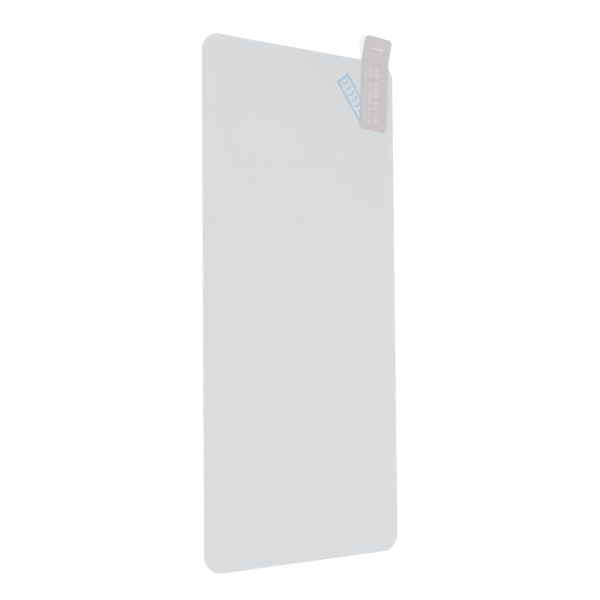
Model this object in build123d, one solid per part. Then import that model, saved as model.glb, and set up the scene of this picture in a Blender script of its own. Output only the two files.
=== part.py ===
from build123d import *
import os
from math import radians

# Phone screen protector as it is sold: tempered glass, its clear adhesive, the film that covers
# the adhesive until use, and the pull tab that peels the film away.
# It lies as it comes to rest, with the glass's outer face down on Z = 0 and the film on top.
# X runs across the sheet and Y along it, towards the end that has the tab. Sizes are in millimetres.

# Glass: outline, thickness, and the outer face's edge, which rolls off on an arc to a square land
GLASS_WIDTH = 70.5
GLASS_LENGTH = 153.0
GLASS_THICKNESS = 0.33
GLASS_CORNER_RADIUS = 5.6
EDGE_ROLL_WIDTH = 0.9
EDGE_LAND = 0.10

# Adhesive, set in from the glass's outline on every side
ADHESIVE_THICKNESS = 0.20
ADHESIVE_INSET = 0.30

# Peel film, cut just inside the glass's outline
FILM_THICKNESS = 0.10
FILM_INSET = 0.10

# Pull tab: a label stuck on the film near a corner, whose free end reaches past the film and bends up
TAB_WIDTH = 10.7
TAB_STUCK_LENGTH = 21.9
TAB_FREE_LENGTH = 7.6
TAB_THICKNESS = 0.10
TAB_CORNER_RADIUS = 1.4
TAB_SIDE_OFFSET = 7.05
TAB_TILT = 3.3
TAB_BEND_RADIUS = 6.0
TAB_BEND_ANGLE = 12.5

# Levels of the stack, each piece lying face to face on the one below
ADHESIVE_LEVEL = GLASS_THICKNESS
FILM_LEVEL = ADHESIVE_LEVEL + ADHESIVE_THICKNESS
TAB_LEVEL = FILM_LEVEL + FILM_THICKNESS

# How far the edge cutter stands out past the glass that it trims
CUTTER_MARGIN = 0.5


def sheet_outline(inset):
    """Outline of a layer, parallel to the glass's own and set in from it on every side."""
    return RectangleRounded(
        GLASS_WIDTH - 2 * inset,
        GLASS_LENGTH - 2 * inset,
        GLASS_CORNER_RADIUS - inset,
    )


def layer(inset, level, thickness):
    """Flat layer of the stack."""
    return Pos(0, 0, level) * extrude(sheet_outline(inset), thickness)


def edge_roll_cutter():
    """Ring swept round the glass, whose inner side is the arc that the outer face rolls off on."""
    rim = sheet_outline(0).face().outer_wire()
    along = rim % 0
    outward = along.cross(Vector(0, 0, 1))
    section_plane = Plane(origin=rim @ 0, x_dir=outward, z_dir=-along)

    roll_height = GLASS_THICKNESS - EDGE_LAND
    roll_radius = (EDGE_ROLL_WIDTH**2 + roll_height**2) / (2 * roll_height)
    face_end = (-EDGE_ROLL_WIDTH, 0)
    land_end = (0, roll_height)
    roll = RadiusArc(face_end, land_end, -roll_radius)
    outside = Polyline(
        land_end,
        (CUTTER_MARGIN, roll_height),
        (CUTTER_MARGIN, -CUTTER_MARGIN),
        (-EDGE_ROLL_WIDTH, -CUTTER_MARGIN),
        face_end,
    )
    section = make_face(roll.edges() + outside.edges())
    return sweep(section_plane * section, path=rim)


def glass_sheet():
    """Tempered glass, square beside the adhesive and rolled off on its outer face."""
    return layer(0, 0, GLASS_THICKNESS) - edge_roll_cutter()


def pull_tab():
    """Label drawn from the side along its length, then given its width and its rounded corners."""
    stuck = Line((-TAB_STUCK_LENGTH, 0), (0, 0))
    bend = JernArc(stuck @ 1, stuck % 1, TAB_BEND_RADIUS, TAB_BEND_ANGLE)
    tip_length = TAB_FREE_LENGTH - TAB_BEND_RADIUS * radians(TAB_BEND_ANGLE)
    tip = PolarLine(bend @ 1, tip_length, direction=bend % 1)
    underside = Wire([stuck.edge(), bend.edge(), tip.edge()])
    side_view = make_face(underside.offset_2d(TAB_THICKNESS, side=Side.LEFT).edges())

    label = extrude(Plane.YZ * side_view, TAB_WIDTH / 2, both=True)
    through_edges = label.edges().group_by(SortBy.LENGTH)[0]
    label = fillet(through_edges, TAB_CORNER_RADIUS)

    film_end = GLASS_LENGTH / 2 - FILM_INSET
    place = Location((GLASS_WIDTH / 2 - TAB_SIDE_OFFSET, film_end, TAB_LEVEL), (0, 0, -TAB_TILT))
    return place * label


pieces = {
    "glass_sheet": glass_sheet(),
    "adhesive_layer": layer(ADHESIVE_INSET, ADHESIVE_LEVEL, ADHESIVE_THICKNESS),
    "release_film": layer(FILM_INSET, FILM_LEVEL, FILM_THICKNESS),
    "pull_tab": pull_tab(),
}

os.makedirs("parts", exist_ok=True)
for name, piece in pieces.items():
    export_step(piece, f"parts/{name}.step")
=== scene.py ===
from math import asin, cos, pi, radians, sin
from typing import NamedTuple

import bmesh
import bpy
from bpy.props import FloatProperty, FloatVectorProperty, IntProperty, PointerProperty
from mathutils import Matrix, Vector


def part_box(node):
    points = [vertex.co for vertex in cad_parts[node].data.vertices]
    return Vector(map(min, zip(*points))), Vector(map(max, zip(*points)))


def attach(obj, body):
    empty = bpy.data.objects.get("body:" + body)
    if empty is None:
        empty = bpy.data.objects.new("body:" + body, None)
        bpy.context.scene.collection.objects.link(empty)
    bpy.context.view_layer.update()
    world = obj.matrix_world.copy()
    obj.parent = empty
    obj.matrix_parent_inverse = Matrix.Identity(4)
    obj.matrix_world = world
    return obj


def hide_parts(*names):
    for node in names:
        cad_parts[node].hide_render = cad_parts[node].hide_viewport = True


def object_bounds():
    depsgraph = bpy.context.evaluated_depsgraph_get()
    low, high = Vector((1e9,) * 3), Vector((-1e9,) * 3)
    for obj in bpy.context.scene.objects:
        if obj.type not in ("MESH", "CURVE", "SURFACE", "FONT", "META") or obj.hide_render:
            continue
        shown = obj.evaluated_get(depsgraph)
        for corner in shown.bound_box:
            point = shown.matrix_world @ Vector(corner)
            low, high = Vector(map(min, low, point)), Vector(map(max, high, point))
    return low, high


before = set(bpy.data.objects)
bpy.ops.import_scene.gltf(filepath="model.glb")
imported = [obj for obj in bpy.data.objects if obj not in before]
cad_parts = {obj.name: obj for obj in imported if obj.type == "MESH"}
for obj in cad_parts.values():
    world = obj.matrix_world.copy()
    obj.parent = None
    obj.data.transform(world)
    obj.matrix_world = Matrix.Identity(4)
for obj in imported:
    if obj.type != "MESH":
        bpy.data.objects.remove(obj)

bl_info = {
    "name": "Phone Screen Protector",
    "version": (1, 0, 0),
    "blender": (4, 5, 0),
    "location": "3D View > Sidebar > Protector",
    "description": "Finishes a glass screen protector with its adhesive, peel film, pull tab and print",
    "category": "Object",
}

# What the frame gives. Sizes and places in this file are in metres.
CAD_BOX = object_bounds()
GLASS_LOW, GLASS_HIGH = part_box("glass_sheet")
ADHESIVE_LOW, ADHESIVE_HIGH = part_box("adhesive_layer")
FILM_LOW, FILM_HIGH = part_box("release_film")
BODY = "root"

MM = 0.001


# Property helpers

def length(name, description, default):
    """Property for a size or a distance."""
    return FloatProperty(
        name=name, description=description, default=default, subtype="DISTANCE", unit="LENGTH", precision=6
    )


def angle(name, description, degrees):
    """Property for an angle, given in degrees."""
    return FloatProperty(
        name=name, description=description, default=radians(degrees), subtype="ANGLE", unit="ROTATION"
    )


def share(name, description, default):
    """Property for a share between none and all."""
    return FloatProperty(
        name=name, description=description, default=default, min=0, max=1, subtype="FACTOR"
    )


def colour(name, description, default):
    """Property for a colour, in linear light."""
    return FloatVectorProperty(
        name=name, description=description, default=default, size=3, min=0, max=1, subtype="COLOR"
    )


def power(name, description, default):
    """Property for a light's power, in watts."""
    return FloatProperty(
        name=name, description=description, default=default, subtype="POWER", unit="POWER"
    )


def camera_length(name, description, default):
    """Property for a length inside the camera, in millimetres."""
    return FloatProperty(
        name=name, description=description, default=default, subtype="DISTANCE_CAMERA", unit="CAMERA"
    )


class GlassSettings(bpy.types.PropertyGroup):
    """Tempered glass: clear faces and a pale green edge that rolls off to the outer face."""

    corner_radius: length("Corner radius", "Radius of the corners, which the other layers follow", 5.6 * MM)
    roll_width: length("Roll width", "Width that the outer face rolls off over", 0.9 * MM)
    land: length("Land", "Height of the square edge above the roll", 0.10 * MM)
    face_colour: colour("Face colour", "Colour of what little the clear face hides", (0.80, 0.83, 0.82))
    edge_colour: colour("Edge colour", "Colour of the glass seen through its edge", (0.57, 0.67, 0.64))
    face_cover: share("Face cover", "How much one face hides what lies behind it", 0.03)
    edge_cover: share("Edge cover", "How much the edge hides what lies behind it", 0.60)
    polish: share("Roughness", "Roughness of the polished glass", 0.03)
    smudge: share("Smudge", "Roughness that faint smudges add", 0.05)
    smudge_size: length("Smudge size", "Size of a smudge", 9 * MM)


class AdhesiveSettings(bpy.types.PropertyGroup):
    """Clear soft adhesive between the glass and the film."""

    clearance: length("Clearance", "Gap that keeps the faces of touching layers apart", 0.01 * MM)
    face_colour: colour("Face colour", "Colour of what little the clear face hides", (0.78, 0.80, 0.81))
    edge_colour: colour("Edge colour", "Colour of the adhesive seen through its edge", (0.66, 0.69, 0.70))
    face_cover: share("Face cover", "How much one face hides what lies behind it", 0.02)
    edge_cover: share("Edge cover", "How much the edge hides what lies behind it", 0.30)
    polish: share("Roughness", "Roughness of the adhesive", 0.20)
    smudge: share("Smudge", "Roughness that faint unevenness adds", 0.10)
    smudge_size: length("Smudge size", "Size of an uneven patch", 5 * MM)


class FilmSettings(bpy.types.PropertyGroup):
    """Peel film: pale grey, translucent and satin."""

    light_colour: colour("Light colour", "Colour of the film's lighter clouds", (0.554, 0.574, 0.616))
    dark_colour: colour("Dark colour", "Colour of the film's darker clouds", (0.534, 0.554, 0.596))
    cover: share("Cover", "How much one face hides, seen face on", 0.157)
    slant_cover: share("Slant cover", "How much one face hides, seen at the flattest angle", 0.40)
    haze: share("Haze", "How far the cover rises and falls with the clouds", 0.04)
    satin_low: share("Least roughness", "Roughness where the film is smoothest", 0.15)
    satin_high: share("Most roughness", "Roughness where the film is dullest", 0.19)
    cloud_size: length("Cloud size", "Size of a soft cloud in the film", 16 * MM)
    fleck_size: length("Fleck size", "Size of the fine grain in the film", 0.7 * MM)
    ripple_size: length("Ripple size", "Length of a ripple in the film", 22 * MM)
    ripple_depth: length("Ripple depth", "Height of a ripple in the film", 0.012 * MM)


class TabSettings(bpy.types.PropertyGroup):
    """Pull tab: a warm grey label whose free end bends up past the film."""

    width: length("Width", "Width of the label", 10.68 * MM)
    stuck_length: length("Stuck length", "Length that is stuck to the film", 21.89 * MM)
    free_length: length("Free length", "Length that reaches past the film", 7.59 * MM)
    thickness: length("Thickness", "Height of the label's face above the film", 0.10 * MM)
    corner_radius: length("Corner radius", "Radius of the label's corners", 1.4 * MM)
    side_offset: length("Side offset", "Label's centre line from the film's side", 6.95 * MM)
    tilt: angle("Tilt", "How far the label leans towards the film's side", 3.3)
    bend_radius: length("Bend radius", "Radius that the free end bends up on", 6.0 * MM)
    bend_angle: angle("Bend angle", "How far the free end bends up", 12.5)
    glue_line: length("Glue line", "Gap that the print and the glue take under the label", 0.02 * MM)
    light_colour: colour("Light colour", "Colour of the label's lighter grain", (0.560, 0.533, 0.546))
    dark_colour: colour("Dark colour", "Colour of the label's darker grain", (0.520, 0.495, 0.507))
    # The cut edge is painted paler than the face, as a painted highlight
    edge_colour: colour("Edge colour", "Colour of the label's cut edge", (0.70, 0.68, 0.68))
    satin_low: share("Least roughness", "Roughness where the label is smoothest", 0.50)
    satin_high: share("Most roughness", "Roughness where the label is dullest", 0.68)
    grain_size: length("Grain size", "Size of the grain in the label", 0.45 * MM)
    grain_depth: length("Grain depth", "Height of the grain in the label", 0.012 * MM)
    mottle_size: length("Mottle size", "Size of a soft patch in the label", 4 * MM)


class FilmPrintSettings(bpy.types.PropertyGroup):
    """Blue print on the film: a slanted frame with a row of chevrons, partly under the label."""

    side_offset: length("Side offset", "Print's middle from the film's side", 15.38 * MM)
    end_offset: length("End offset", "Print's middle from the film's end", 12.87 * MM)
    slant: angle("Slant", "Direction of the frame's long sides, down from the film's width", 52.9)
    frame_length: length("Frame length", "Outer length of the frame", 15.6 * MM)
    frame_width: length("Frame width", "Outer width of the frame", 5.38 * MM)
    frame_stroke: length("Frame stroke", "Width of the frame's line", 0.66 * MM)
    chevrons: IntProperty(name="Chevrons", description="Chevrons in the frame", default=7, min=1)
    chevron_margin: share("Chevron margin", "Outermost chevrons from the frame's ends, in steps", 0.75)
    chevron_height: length("Chevron height", "Size of a chevron across the frame", 2.6 * MM)
    chevron_depth: length("Chevron depth", "Size of a chevron along the frame", 0.8 * MM)
    chevron_stroke: length("Chevron stroke", "Width of a chevron's line", 0.52 * MM)
    ink_colour: colour("Ink colour", "Colour of the ink where it is thick", (0.27, 0.50, 0.71))
    thin_colour: colour("Thin ink colour", "Colour of the ink where it is thin", (0.38, 0.56, 0.71))


class TabPrintSettings(bpy.types.PropertyGroup):
    """Pale print on the label: three rows of ticks in runs, and an arrow across the free end."""

    row_start: length("Row start", "Start of the rows, back from the film's end", 2.2 * MM)
    row_end: length("Row end", "End of the rows, back from the film's end", 20.2 * MM)
    lean: angle("Lean", "How far the ticks lean along their row", 18)
    run_gap: share("Run gap", "Gap between runs of ticks, as a share of the row's height", 0.75)
    tick_pitch: share("Tick pitch", "Step from tick to tick, as a share of the row's height", 0.48)
    tick_stroke: share("Tick stroke", "Width of a tick, as a share of the row's height", 0.175)
    arrow_place: length("Arrow place", "Arrow's distance past the film's end", 4.0 * MM)
    arrow_length: length("Arrow length", "Length of the arrow", 4.1 * MM)
    arrow_head: length("Arrow head", "Size of the arrow's head", 0.8 * MM)
    arrow_stroke: length("Arrow stroke", "Width of the arrow's line", 0.32 * MM)
    ink_colour: colour("Ink colour", "Colour of the ink where it is thick", (0.72, 0.72, 0.73))
    thin_colour: colour("Thin ink colour", "Colour of the ink where it is thin", (0.62, 0.61, 0.62))


class StageSettings(bpy.types.PropertyGroup):
    """White floor, soft light and the camera."""

    floor_size: length("Floor size", "Side of the floor", 6.0)
    floor_gap: length("Floor gap", "Gap that keeps the floor off the glass", 0.05 * MM)
    floor_shade: share("Floor shade", "Share of the floor's white that takes light and shadow", 0.25)
    floor_glow: share("Floor glow", "Share of the floor's white that takes no shadow, by the sheet", 0.78)
    glow_start: length("Glow start", "Distance from the sheet's middle where the glow starts to rise", 0.25)
    glow_full: length("Glow full", "Distance from the sheet's middle where the glow is full", 0.80)
    world_light: share("World light", "Light from all round", 0.55)
    key_power: power("Key power", "Power of the light overhead", 4.3)
    key_size: length("Key size", "Side of the light overhead", 1.2)
    key_height: length("Key height", "Height of the light overhead", 1.4)
    panel_power: power("Panel power", "Power of the side panel", 8.0)
    panel_size: length("Panel size", "Side of the square panel that the film mirrors", 1.1)
    panel_height: length("Panel height", "Height of the panel", 1.2)
    panel_across: length("Panel across", "Panel's middle, across the sheet", 0.74)
    panel_along: length("Panel along", "Panel's middle, along the sheet", -0.12)
    panel_turn: angle("Panel turn", "How far the panel is turned, seen from above", 52.6)
    camera_azimuth: angle("Camera azimuth", "Camera's direction round the sheet, from its near end", -85.88)
    camera_elevation: angle("Camera elevation", "Camera's angle above the floor", 53.82)
    camera_distance: length("Camera distance", "Camera's distance from where it aims", 346.47 * MM)
    camera_roll: angle("Camera roll", "Lean of the picture's upright, right of the sheet's length", 0.472)
    aim: FloatVectorProperty(
        name="Aim",
        description="Point that the camera looks at",
        default=(-1.898 * MM, -0.812 * MM, FILM_HIGH.z),
        size=3,
        subtype="TRANSLATION",
        unit="LENGTH",
    )
    lens: camera_length("Lens", "Focal length of the lens", 70.08)
    sensor: camera_length("Sensor", "Width of the sensor", 36)
    lens_shift: share("Lens shift", "Upward shift of the picture, as a share of its width", 0.0093)


class ProtectorSettings(bpy.types.PropertyGroup):
    """Settings of every piece and of the stage."""

    glass: PointerProperty(type=GlassSettings)
    adhesive: PointerProperty(type=AdhesiveSettings)
    film: PointerProperty(type=FilmSettings)
    tab: PointerProperty(type=TabSettings)
    film_print: PointerProperty(type=FilmPrintSettings)
    tab_print: PointerProperty(type=TabPrintSettings)
    stage: PointerProperty(type=StageSettings)


# Node helpers

def plug(tree, socket, value):
    """Plugs another socket into an input, or sets the input to a colour or a number."""
    if isinstance(value, bpy.types.NodeSocket):
        tree.links.new(value, socket)
    elif socket.type == "RGBA":
        socket.default_value = (*value, 1)
    else:
        socket.default_value = value


def feed(tree, node, inputs):
    """Gives each named input of a node its socket, colour or number."""
    for name, value in inputs.items():
        plug(tree, node.inputs[name], value)


def add_node(tree, kind, inputs=None, **options):
    """Adds a node, sets its options and feeds its inputs."""
    node = tree.nodes.new(kind)
    for name, value in options.items():
        setattr(node, name, value)
    feed(tree, node, inputs or {})
    return node


def new_material(name):
    """Fresh material, with its node tree and its shader."""
    material = bpy.data.materials.new(name)
    material.use_nodes = True
    tree = material.node_tree
    return material, tree, tree.nodes["Principled BSDF"]


def calculate(tree, operation, *values):
    """Result of a sum on one or two values, such as MULTIPLY."""
    return add_node(tree, "ShaderNodeMath", dict(enumerate(values)), operation=operation).outputs["Value"]


def average(tree, first, second):
    """Half way between two values."""
    return calculate(tree, "MULTIPLY", calculate(tree, "ADD", first, second), 0.5)


def spread(tree, value, low, high, start=0, end=1):
    """Carries a value from the range start to end over to the range low to high, and no further."""
    inputs = {"Value": value, "From Min": start, "From Max": end, "To Min": low, "To Max": high}
    return add_node(tree, "ShaderNodeMapRange", inputs).outputs["Result"]


def grain(tree, size, detail):
    """Noise of a given feature size, fixed to the object."""
    place = add_node(tree, "ShaderNodeTexCoord").outputs["Object"]
    noise = add_node(tree, "ShaderNodeTexNoise", {"Vector": place, "Scale": 1 / size, "Detail": detail})
    return noise.outputs["Fac"]


# Range that most of a grain lies in
GRAIN_LOW = 0.32
GRAIN_HIGH = 0.68


def spread_grain(tree, noise, low, high):
    """Carries a grain over to the range low to high."""
    return spread(tree, noise, low, high, GRAIN_LOW, GRAIN_HIGH)


def blend_colours(tree, amount, first, second):
    """Colour that goes from the first to the second with the amount. Each is a colour or a socket."""
    mix = add_node(tree, "ShaderNodeMix", data_type="RGBA")
    # Its sockets for numbers and for colours have the same names, so they are told apart by identifier
    sockets = {socket.identifier: socket for socket in (*mix.inputs, *mix.outputs)}
    plug(tree, sockets["Factor_Float"], amount)
    plug(tree, sockets["A_Color"], first)
    plug(tree, sockets["B_Color"], second)
    return sockets["Result_Color"]


def raised(tree, height, depth):
    """Surface normal of a relief of that depth."""
    return add_node(tree, "ShaderNodeBump", {"Height": height, "Distance": depth}).outputs["Normal"]


# Vertical part of a face's normal where the finish of an edge starts, and where it is full
EDGE_START = 0.995
EDGE_FULL = 0.60


def edge_mask(tree):
    """One on an upright edge and none on a flat face."""
    normal = add_node(tree, "ShaderNodeNewGeometry").outputs["True Normal"]
    upward = add_node(tree, "ShaderNodeSeparateXYZ", {"Vector": normal}).outputs["Z"]
    return spread(tree, calculate(tree, "ABSOLUTE", upward), 0, 1, EDGE_START, EDGE_FULL)


def seen_directly(tree):
    """One where the camera sees a surface, also in a mirror or through glass, and none for light."""
    path = add_node(tree, "ShaderNodeLightPath").outputs
    mirrored = calculate(tree, "MAXIMUM", path["Is Camera Ray"], path["Is Glossy Ray"])
    return calculate(tree, "MAXIMUM", mirrored, path["Is Transmission Ray"])


# Materials

FILM_IOR = 1.65
INK_PATCH_SIZE = 0.5 * MM
THICK_INK_ROUGHNESS = 0.45
THIN_INK_ROUGHNESS = 0.55


def clear_sheet_material(name, look):
    """Clear layer: nearly bare faces, a tinted edge and faint smudges in its polish."""
    material, tree, shader = new_material(name)
    edge = edge_mask(tree)
    smudge = grain(tree, look.smudge_size, detail=3)
    feed(tree, shader, {
        "Base Color": blend_colours(tree, edge, look.face_colour, look.edge_colour),
        "Roughness": spread_grain(tree, smudge, look.polish, look.polish + look.smudge),
        "Alpha": spread(tree, edge, look.face_cover, look.edge_cover),
    })
    return material


def film_material(look):
    """Satin film with faint clouds and a soft ripple, which hides more at a slant."""
    material, tree, shader = new_material("peel_film")
    cloud = grain(tree, look.cloud_size, detail=2)
    fleck = grain(tree, look.fleck_size, detail=2)
    ripple = grain(tree, look.ripple_size, detail=0)
    slant = add_node(tree, "ShaderNodeLayerWeight").outputs["Facing"]
    cover = spread(tree, slant, look.cover, look.slant_cover)
    haze = spread_grain(tree, cloud, 1 - look.haze, 1 + look.haze)
    feed(tree, shader, {
        "Base Color": blend_colours(tree, cloud, look.dark_colour, look.light_colour),
        "Roughness": spread_grain(tree, fleck, look.satin_low, look.satin_high),
        "Alpha": calculate(tree, "MULTIPLY", cover, haze),
        "Normal": raised(tree, ripple, look.ripple_depth),
        "IOR": FILM_IOR,
    })
    return material


def label_material(look):
    """Matt label with a fine grain, and a paler cut edge that is a painted highlight."""
    material, tree, shader = new_material("tab_label")
    fine = grain(tree, look.grain_size, detail=3)
    mottle = grain(tree, look.mottle_size, detail=2)
    tone = spread_grain(tree, average(tree, fine, mottle), 0, 1)
    face_colour = blend_colours(tree, tone, look.dark_colour, look.light_colour)
    feed(tree, shader, {
        # The upright cut edge takes the paler edge colour, a painted highlight
        "Base Color": blend_colours(tree, edge_mask(tree), face_colour, look.edge_colour),
        "Roughness": spread(tree, tone, look.satin_low, look.satin_high),
        "Normal": raised(tree, fine, look.grain_depth),
    })
    return material


def ink_material(name, look):
    """Printed ink, a little thinner and duller in patches."""
    material, tree, shader = new_material(name)
    patch = grain(tree, INK_PATCH_SIZE, detail=2)
    feed(tree, shader, {
        "Base Color": blend_colours(tree, patch, look.thin_colour, look.ink_colour),
        "Roughness": spread_grain(tree, patch, THIN_INK_ROUGHNESS, THICK_INK_ROUGHNESS),
    })
    return material


# Mesh helpers

# Steps of a round corner, of the glass's roll and of the tab's bend
CORNER_STEPS = 24
ROLL_STEPS = 8
BEND_STEPS = 12
# Faces that meet at more than this angle have a crisp edge
SHARP_EDGE = radians(40)
# Ink lies in a thin layer over what it is printed on
INK_BOTTOM = 0.004 * MM
INK_TOP = 0.014 * MM


def add_object(name, data):
    """Adds an object to the scene that holds a mesh, a light or a camera."""
    item = bpy.data.objects.new(name, data)
    bpy.context.scene.collection.objects.link(item)
    return item


def finish_mesh(mesh, name, material):
    """Turns a bmesh into an object with smooth curves and crisp edges."""
    bmesh.ops.recalc_face_normals(mesh, faces=mesh.faces)
    data = bpy.data.meshes.new(name)
    mesh.to_mesh(data)
    mesh.free()
    data.shade_smooth()
    data.set_sharp_from_angle(angle=SHARP_EDGE)
    data.materials.append(material)
    return add_object(name, data)


def add_piece(mesh, name, material, node=None):
    """Adds a piece of the protector under its body, and hides the CAD node it stands for, if any."""
    piece = finish_mesh(mesh, name, material)
    if node:
        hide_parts(node)
    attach(piece, BODY)


def rounded_stations(start, end, width, radius, between=()):
    """Stations along a strip with round corners, each a place along it and a half width there."""
    turns = [pi / 2 * step / CORNER_STEPS for step in range(CORNER_STEPS + 1)]
    opening = [(start + radius * (1 - cos(turn)), width / 2 - radius * (1 - sin(turn))) for turn in turns]
    middle = [(place, width / 2) for place in between]
    closing = [(start + end - place, half) for place, half in reversed(opening)]
    return opening + middle + closing


def plate_mesh(rings, place):
    """Closed plate of quads through rings of stations, each ring with its height, from the bottom up.

    place turns (along, across, up) into a point.
    """
    mesh = bmesh.new()
    sides = []
    for stations, up in rings:
        left = [mesh.verts.new(place(along, -half, up)) for along, half in stations]
        right = [mesh.verts.new(place(along, half, up)) for along, half in stations]
        sides.append((left, right))
    for left, right in (sides[0], sides[-1]):
        for step in range(1, len(left)):
            mesh.faces.new((left[step - 1], right[step - 1], right[step], left[step]))
    loops = [left + right[::-1] for left, right in sides]
    for lower, upper in zip(loops, loops[1:]):
        for step in range(len(lower)):
            mesh.faces.new((lower[step - 1], lower[step], upper[step], upper[step - 1]))
    return mesh


def on_sheet(along, across, up):
    """Point of a sheet that lies flat, with its length along Y."""
    return Vector((across, along, up))


def sheet_ring(low, high, radius, inset, up):
    """Ring of a flat sheet: its box's outline with round corners, set in on every side."""
    stations = rounded_stations(low.y + inset, high.y - inset, high.x - low.x - 2 * inset, radius - inset)
    return stations, up


def rolled_section(width, height):
    """Insets and heights of an edge that rolls off a face on an arc, from the face up."""
    radius = (width**2 + height**2) / (2 * height)
    turns = [asin(width / radius) * step / ROLL_STEPS for step in range(ROLL_STEPS + 1)]
    return [(width - radius * sin(turn), radius * (1 - cos(turn))) for turn in turns]


def layer_mesh(low, high, glass, clearance=0):
    """Flat layer in its box, with corners that follow the glass's and a clearance above and below."""
    radius = glass.corner_radius - (GLASS_HIGH.x - high.x)
    levels = (low.z + clearance, high.z - clearance)
    return plate_mesh([sheet_ring(low, high, radius, 0, level) for level in levels], on_sheet)


def label_place(tab, base=0):
    """Function that turns (along, across, up) on the label into a point.

    Along starts at the film's end, and up at a base above the film.
    """
    corner = Vector((FILM_HIGH.x - tab.side_offset, FILM_HIGH.y, FILM_HIGH.z))
    lengthwise = Vector((sin(tab.tilt), cos(tab.tilt), 0))
    crosswise = Vector((cos(tab.tilt), -sin(tab.tilt), 0))

    def place(along, across, up):
        bent = min(max(along, 0), tab.bend_radius * tab.bend_angle)
        turn = bent / tab.bend_radius
        straight = along - bent
        radius = tab.bend_radius - (base + up)
        reach = radius * sin(turn) + straight * cos(turn)
        rise = tab.bend_radius - radius * cos(turn) + straight * sin(turn)
        return corner + reach * lengthwise + across * crosswise + Vector((0, 0, rise))

    return place


def film_print_place(mark):
    """Function that turns (along, across, up) on the film's print into a point."""
    middle = Vector((FILM_HIGH.x - mark.side_offset, FILM_HIGH.y - mark.end_offset, FILM_HIGH.z))
    lengthwise = Vector((cos(mark.slant), -sin(mark.slant), 0))
    crosswise = Vector((sin(mark.slant), cos(mark.slant), 0))

    def place(along, across, up):
        return middle + along * lengthwise + across * crosswise + Vector((0, 0, up))

    return place


def stroke(mesh, path, width, place, closed=False):
    """Adds a flat line of ink along a path, with mitred corners."""
    points = [Vector(point) for point in path]
    leaving = [(after - point).normalized() for point, after in zip(points, points[1:] + points[:1])]
    arriving = leaving[-1:] + leaving[:-1]
    if not closed:
        arriving[0] = leaving[0]
        leaving[-1] = arriving[-1]
    rows = []
    for point, before, after in zip(points, arriving, leaving):
        heading = (before + after).normalized()
        sideways = Vector((-heading.y, heading.x)) * (width / 2 / heading.dot(before))
        right = point - sideways
        left = point + sideways
        section = ((right, INK_BOTTOM), (left, INK_BOTTOM), (left, INK_TOP), (right, INK_TOP))
        rows.append([mesh.verts.new(place(edge.x, edge.y, up)) for edge, up in section])
    following_rows = rows[1:] + rows[:1] if closed else rows[1:]
    for row, following in zip(rows, following_rows):
        for side in range(len(row)):
            mesh.faces.new((row[side - 1], row[side], following[side], following[side - 1]))
    if not closed:
        mesh.faces.new(rows[0])
        mesh.faces.new(rows[-1])


def box_path(long_side, short_side):
    """Closed path round a box."""
    corners = ((1, 1), (-1, 1), (-1, -1), (1, -1))
    return [(x * long_side / 2, y * short_side / 2) for x, y in corners]


class TickRow(NamedTuple):
    """Row of the label's print: its middle from the label's centre line, its height, and ticks per run."""

    middle: float
    height: float
    runs: tuple


TICK_ROWS = (
    TickRow(middle=-3.67 * MM, height=0.75 * MM, runs=(9, 5, 12, 7, 10)),
    TickRow(middle=-1.81 * MM, height=1.45 * MM, runs=(5, 3, 6, 4, 2)),
    TickRow(middle=0.61 * MM, height=1.75 * MM, runs=(4, 6, 3, 4)),
)


def tick_places(row, mark):
    """Places of a row's ticks along the label, from the row's start back to its end."""
    along = -mark.row_start
    places = []
    for count in row.runs:
        for _ in range(count):
            places.append(along)
            along -= mark.tick_pitch * row.height
        along -= mark.run_gap * row.height
    return [place for place in places if place > -mark.row_end]


# Stage helpers

WHITE = (1, 1, 1)


def white_room(stage):
    """World that is white to look at and gives an even light."""
    world = bpy.data.worlds.new("white_room")
    world.use_nodes = True
    tree = world.node_tree
    strength = spread(tree, seen_directly(tree), stage.world_light, 1)
    feed(tree, tree.nodes["Background"], {"Color": WHITE, "Strength": strength})
    return world


def floor_material(stage):
    """White that partly takes light, so that it keeps shadows, and glows up to white further out."""
    material, tree, shader = new_material("white_floor")
    tree.nodes.remove(shader)
    lit = add_node(tree, "ShaderNodeBsdfDiffuse", {"Color": [stage.floor_shade] * 3})
    place = add_node(tree, "ShaderNodeTexCoord").outputs["Object"]
    distance = add_node(tree, "ShaderNodeVectorMath", {0: place}, operation="LENGTH").outputs["Value"]
    white = spread(tree, distance, stage.floor_glow, 1, stage.glow_start, stage.glow_full)
    strength = calculate(tree, "MULTIPLY", seen_directly(tree), white)
    glow = add_node(tree, "ShaderNodeEmission", {"Color": WHITE, "Strength": strength})
    both = add_node(tree, "ShaderNodeAddShader", {0: lit.outputs["BSDF"], 1: glow.outputs["Emission"]})
    feed(tree, tree.nodes["Material Output"], {"Surface": both.outputs["Shader"]})
    return material


def lay_floor(stage):
    """Square floor, just under the sheet."""
    mesh = bmesh.new()
    level = Matrix.Translation((0, 0, CAD_BOX[0].z - stage.floor_gap))
    bmesh.ops.create_grid(mesh, x_segments=1, y_segments=1, size=stage.floor_size / 2, matrix=level)
    finish_mesh(mesh, "floor", floor_material(stage))


def hang_light(name, watts, size, place, turn=0):
    """Square soft light that shines straight down."""
    light = bpy.data.lights.new(name, "AREA")
    light.energy = watts
    light.size = size
    holder = add_object(name, light)
    holder.location = place
    holder.rotation_euler.z = turn
    holder.visible_camera = False


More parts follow.
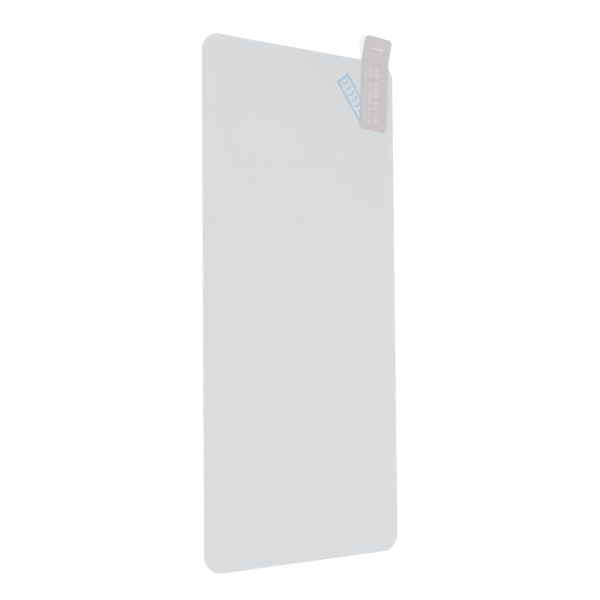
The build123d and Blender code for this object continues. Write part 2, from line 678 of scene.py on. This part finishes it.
def set_camera(stage):
    """Camera above the sheet, with the sheet's length upright in its picture."""
    level = cos(stage.camera_elevation)
    back = Vector((
        sin(stage.camera_azimuth) * level,
        -cos(stage.camera_azimuth) * level,
        sin(stage.camera_elevation),
    ))
    right = Vector((0, 1, 0)).cross(back).normalized()
    up = back.cross(right)
    roll = stage.camera_roll
    leaned_right = right * cos(roll) - up * sin(roll)
    leaned_up = up * cos(roll) + right * sin(roll)

    data = bpy.data.cameras.new("camera")
    data.lens = stage.lens
    data.sensor_width = stage.sensor
    data.shift_y = stage.lens_shift
    data.clip_start = stage.camera_distance / 100
    data.clip_end = stage.floor_size * 2
    camera = add_object("camera", data)
    turn = Matrix((leaned_right, leaned_up, back)).transposed().to_4x4()
    camera.matrix_world = Matrix.Translation(Vector(stage.aim) + back * stage.camera_distance) @ turn
    bpy.context.scene.camera = camera


# Operators

class PROTECTOR_OT_glass(bpy.types.Operator):
    """Lay the glass, with its outer face down and rolled off to the edge"""

    bl_idname = "protector.glass"
    bl_label = "Lay Glass"

    def execute(self, context):
        glass = context.scene.protector.glass
        thickness = GLASS_HIGH.z - GLASS_LOW.z
        section = [*rolled_section(glass.roll_width, thickness - glass.land), (0, thickness)]
        rings = [
            sheet_ring(GLASS_LOW, GLASS_HIGH, glass.corner_radius, inset, GLASS_LOW.z + rise)
            for inset, rise in section
        ]
        material = clear_sheet_material("tempered_glass", glass)
        add_piece(plate_mesh(rings, on_sheet), "glass_plate", material, "glass_sheet")
        return {"FINISHED"}


class PROTECTOR_OT_adhesive(bpy.types.Operator):
    """Lay the clear adhesive between the glass and the film"""

    bl_idname = "protector.adhesive"
    bl_label = "Lay Adhesive"

    def execute(self, context):
        protector = context.scene.protector
        adhesive = protector.adhesive
        mesh = layer_mesh(ADHESIVE_LOW, ADHESIVE_HIGH, protector.glass, adhesive.clearance)
        material = clear_sheet_material("clear_adhesive", adhesive)
        add_piece(mesh, "adhesive_sheet", material, "adhesive_layer")
        return {"FINISHED"}


class PROTECTOR_OT_film(bpy.types.Operator):
    """Cover the adhesive with the satin grey peel film"""

    bl_idname = "protector.film"
    bl_label = "Lay Film"

    def execute(self, context):
        protector = context.scene.protector
        mesh = layer_mesh(FILM_LOW, FILM_HIGH, protector.glass)
        add_piece(mesh, "peel_film", film_material(protector.film), "release_film")
        return {"FINISHED"}


class PROTECTOR_OT_tab(bpy.types.Operator):
    """Stick the pull tab on the film, with its free end bent up"""

    bl_idname = "protector.tab"
    bl_label = "Stick On Tab"

    def execute(self, context):
        tab = context.scene.protector.tab
        arc = tab.bend_radius * tab.bend_angle
        bend = [arc * step / BEND_STEPS for step in range(BEND_STEPS + 1)]
        stations = rounded_stations(-tab.stuck_length, tab.free_length, tab.width, tab.corner_radius, bend)
        rings = [(stations, level) for level in (tab.glue_line, tab.thickness)]
        mesh = plate_mesh(rings, label_place(tab))
        add_piece(mesh, "tab_label", label_material(tab), "pull_tab")
        return {"FINISHED"}


class PROTECTOR_OT_film_print(bpy.types.Operator):
    """Print the blue frame and its chevrons on the film"""

    bl_idname = "protector.film_print"
    bl_label = "Print Film"

    def execute(self, context):
        mark = context.scene.protector.film_print
        place = film_print_place(mark)
        ink = ink_material("blue_ink", mark)

        border = bmesh.new()
        line_length = mark.frame_length - mark.frame_stroke
        line_width = mark.frame_width - mark.frame_stroke
        stroke(border, box_path(line_length, line_width), mark.frame_stroke, place, closed=True)
        add_piece(border, "film_print_frame", ink)

        chevrons = bmesh.new()
        step = line_length / (mark.chevrons - 1 + 2 * mark.chevron_margin)
        half = mark.chevron_height / 2
        for index in range(mark.chevrons):
            middle = -line_length / 2 + step * (mark.chevron_margin + index)
            tip = middle + mark.chevron_depth / 2
            tail = middle - mark.chevron_depth / 2
            stroke(chevrons, ((tail, half), (tip, 0), (tail, -half)), mark.chevron_stroke, place)
        add_piece(chevrons, "film_print_chevrons", ink)
        return {"FINISHED"}


class PROTECTOR_OT_tab_print(bpy.types.Operator):
    """Print the pale rows and the arrow on the tab"""

    bl_idname = "protector.tab_print"
    bl_label = "Print Tab"

    def execute(self, context):
        tab = context.scene.protector.tab
        mark = context.scene.protector.tab_print
        place = label_place(tab, tab.thickness)
        ink = ink_material("pale_ink", mark)

        rows = bmesh.new()
        for row in TICK_ROWS:
            slip = row.height / 2 * sin(mark.lean)
            reach = row.height / 2 * cos(mark.lean)
            for along in tick_places(row, mark):
                path = ((along - slip, row.middle - reach), (along + slip, row.middle + reach))
                stroke(rows, path, mark.tick_stroke * row.height, place)
        add_piece(rows, "tab_print_rows", ink)

        arrow = bmesh.new()
        tip = mark.arrow_length / 2
        barb = tip - mark.arrow_head
        # The shaft ends at the inside of the head's square corner
        neck = tip - mark.arrow_stroke * sin(pi / 4)
        shaft = ((mark.arrow_place, -tip), (mark.arrow_place, neck))
        head = (
            (mark.arrow_place + mark.arrow_head, barb),
            (mark.arrow_place, tip),
            (mark.arrow_place - mark.arrow_head, barb),
        )
        stroke(arrow, shaft, mark.arrow_stroke, place)
        stroke(arrow, head, mark.arrow_stroke, place)
        add_piece(arrow, "tab_print_arrow", ink)
        return {"FINISHED"}


class PROTECTOR_OT_stage(bpy.types.Operator):
    """Set the white floor, the lights and the camera"""

    bl_idname = "protector.stage"
    bl_label = "Set Stage"

    def execute(self, context):
        stage = context.scene.protector.stage
        context.scene.view_settings.view_transform = "Standard"
        context.scene.world = white_room(stage)
        lay_floor(stage)
        hang_light("overhead_light", stage.key_power, stage.key_size, (0, 0, stage.key_height))
        panel_place = (stage.panel_across, stage.panel_along, stage.panel_height)
        hang_light("side_panel", stage.panel_power, stage.panel_size, panel_place, stage.panel_turn)
        set_camera(stage)
        return {"FINISHED"}


# Operators by the settings that they use, in the order that the protector is made in
OPERATORS = {
    "glass": PROTECTOR_OT_glass,
    "adhesive": PROTECTOR_OT_adhesive,
    "film": PROTECTOR_OT_film,
    "tab": PROTECTOR_OT_tab,
    "film_print": PROTECTOR_OT_film_print,
    "tab_print": PROTECTOR_OT_tab_print,
    "stage": PROTECTOR_OT_stage,
}


class PROTECTOR_PT_pieces(bpy.types.Panel):
    """Button for each piece of the protector and for the stage, with its settings folded below"""

    bl_idname = "PROTECTOR_PT_pieces"
    bl_label = "Screen Protector"
    bl_space_type = "VIEW_3D"
    bl_region_type = "UI"
    bl_category = "Protector"

    def draw(self, context):
        for piece, operator in OPERATORS.items():
            header, body = self.layout.panel(piece, default_closed=True)
            header.operator(operator.bl_idname)
            if body:
                settings = getattr(context.scene.protector, piece)
                for name in type(settings).__annotations__:
                    body.prop(settings, name)


CLASSES = (
    GlassSettings,
    AdhesiveSettings,
    FilmSettings,
    TabSettings,
    FilmPrintSettings,
    TabPrintSettings,
    StageSettings,
    ProtectorSettings,
    *OPERATORS.values(),
    PROTECTOR_PT_pieces,
)


def register():
    """Makes the settings, the operators and the panel known to Blender."""
    for item in CLASSES:
        bpy.utils.register_class(item)
    bpy.types.Scene.protector = PointerProperty(type=ProtectorSettings)


def unregister():
    """Takes back what register did."""
    del bpy.types.Scene.protector
    for item in reversed(CLASSES):
        bpy.utils.unregister_class(item)


def main():
    """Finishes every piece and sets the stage."""
    register()
    bpy.ops.protector.glass()
    bpy.ops.protector.adhesive()
    bpy.ops.protector.film()
    bpy.ops.protector.tab()
    bpy.ops.protector.film_print()
    bpy.ops.protector.tab_print()
    bpy.ops.protector.stage()


if __name__ == "__main__":
    main()
